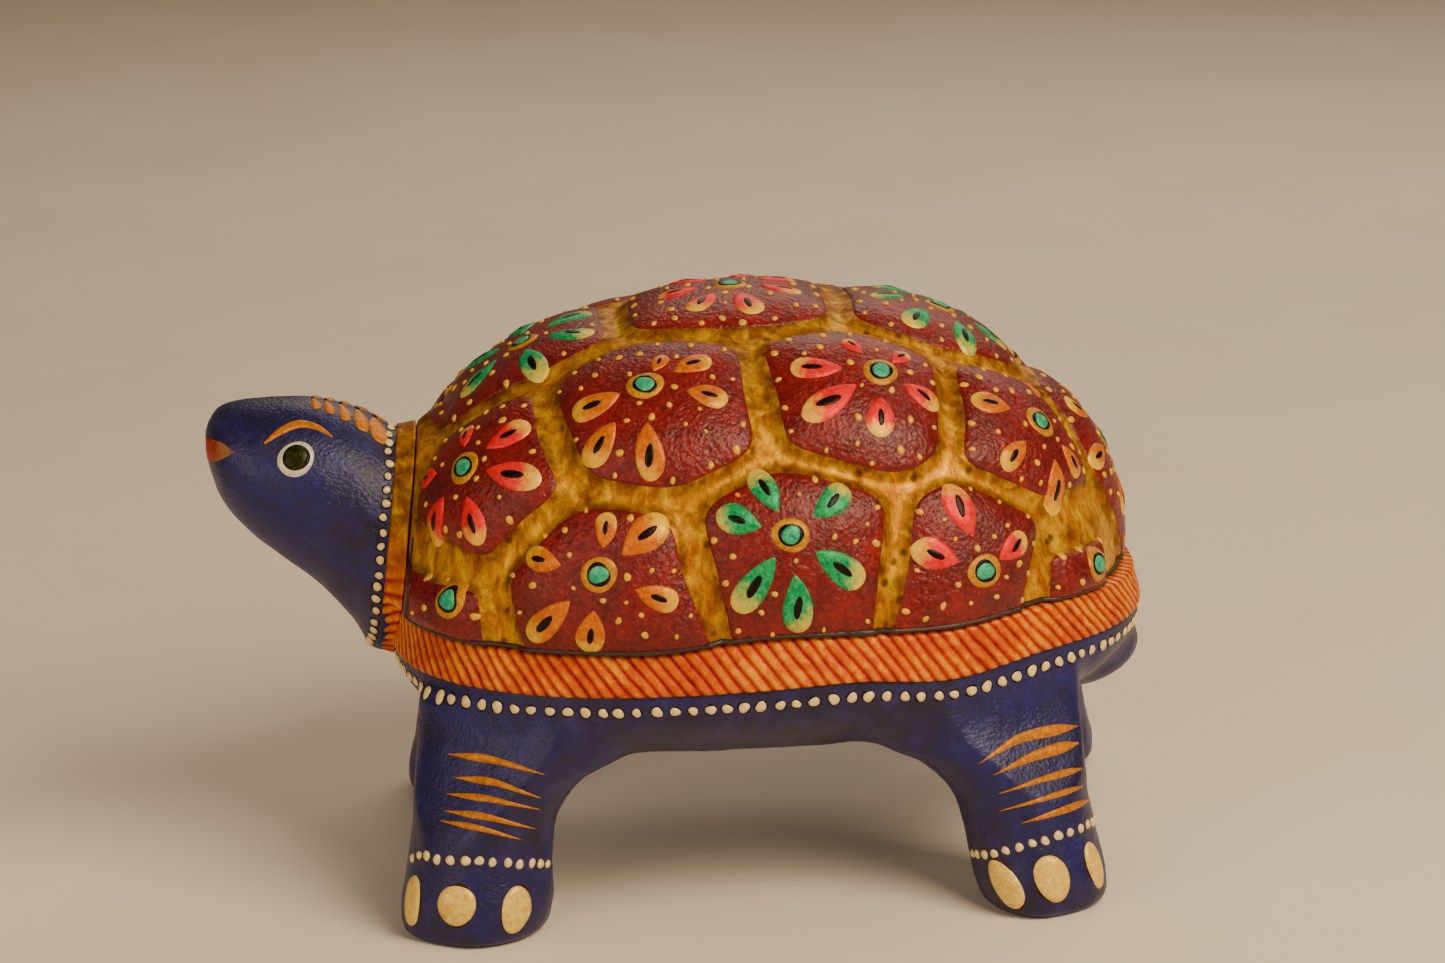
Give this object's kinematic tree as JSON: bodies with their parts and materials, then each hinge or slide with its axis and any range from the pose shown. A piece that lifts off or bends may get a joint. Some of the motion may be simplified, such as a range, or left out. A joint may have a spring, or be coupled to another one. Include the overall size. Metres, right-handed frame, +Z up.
{
  "type": "painted tortoise box",
  "caption": "Hand-painted folk-art tortoise on four pegged legs, with a hollow body and a domed shell of raised flowered scutes that lifts off as a lid.",
  "frame": {"origin": "on the ground, in the middle of the outer box", "axes": "+X to the animal's left side, -Y the way the head looks, +Z up"},
  "size_m": [0.0934, 0.1509, 0.0941],
  "materials": {
    "blue_paint": "deep ultramarine paint on paper paste, satin varnish",
    "maroon_paint": "dark crimson paint on raised paper paste, glossy grained varnish",
    "gold_paint": "mottled gold ochre paint, satin varnish",
    "orange_paint": "orange paint with slanted strokes, satin varnish",
    "bare_wood": "bare turned softwood"
  },
  "bodies": {
    "body": {"torso_tub": "blue_paint", "rim_band": "orange_paint", "locating_lip": "bare_wood", "neck_collar": "gold_paint", "head": "blue_paint", "neck_dowel": "bare_wood", "leg_front_left": "blue_paint", "leg_front_right": "blue_paint", "leg_rear_left": "blue_paint", "leg_rear_right": "blue_paint", "dowel_front_left": "bare_wood", "dowel_front_right": "bare_wood", "dowel_rear_left": "bare_wood", "dowel_rear_right": "bare_wood", "tail": "blue_paint", "tail_dowel": "bare_wood"},
    "lid": {"shell_lid": "gold_paint", "scute_vertebral_1": "maroon_paint", "scute_vertebral_2": "maroon_paint", "scute_vertebral_3": "maroon_paint", "scute_vertebral_4": "maroon_paint", "scute_costal_left_1": "maroon_paint", "scute_costal_left_2": "maroon_paint", "scute_costal_left_3": "maroon_paint", "scute_costal_left_4": "maroon_paint", "scute_costal_right_1": "maroon_paint", "scute_costal_right_2": "maroon_paint", "scute_costal_right_3": "maroon_paint", "scute_costal_right_4": "maroon_paint", "scute_marginal_left_1": "maroon_paint", "scute_marginal_left_2": "maroon_paint", "scute_marginal_left_3": "maroon_paint", "scute_marginal_left_4": "maroon_paint", "scute_marginal_left_5": "maroon_paint", "scute_marginal_right_1": "maroon_paint", "scute_marginal_right_2": "maroon_paint", "scute_marginal_right_3": "maroon_paint", "scute_marginal_right_4": "maroon_paint", "scute_marginal_right_5": "maroon_paint"}
  },
  "joints": [
    {"name": "lid_lift", "type": "slide", "parent": "body", "child": "lid", "axis": [0, 0.1392, 0.9903], "range_m": [0, 0.07]}
  ]
}
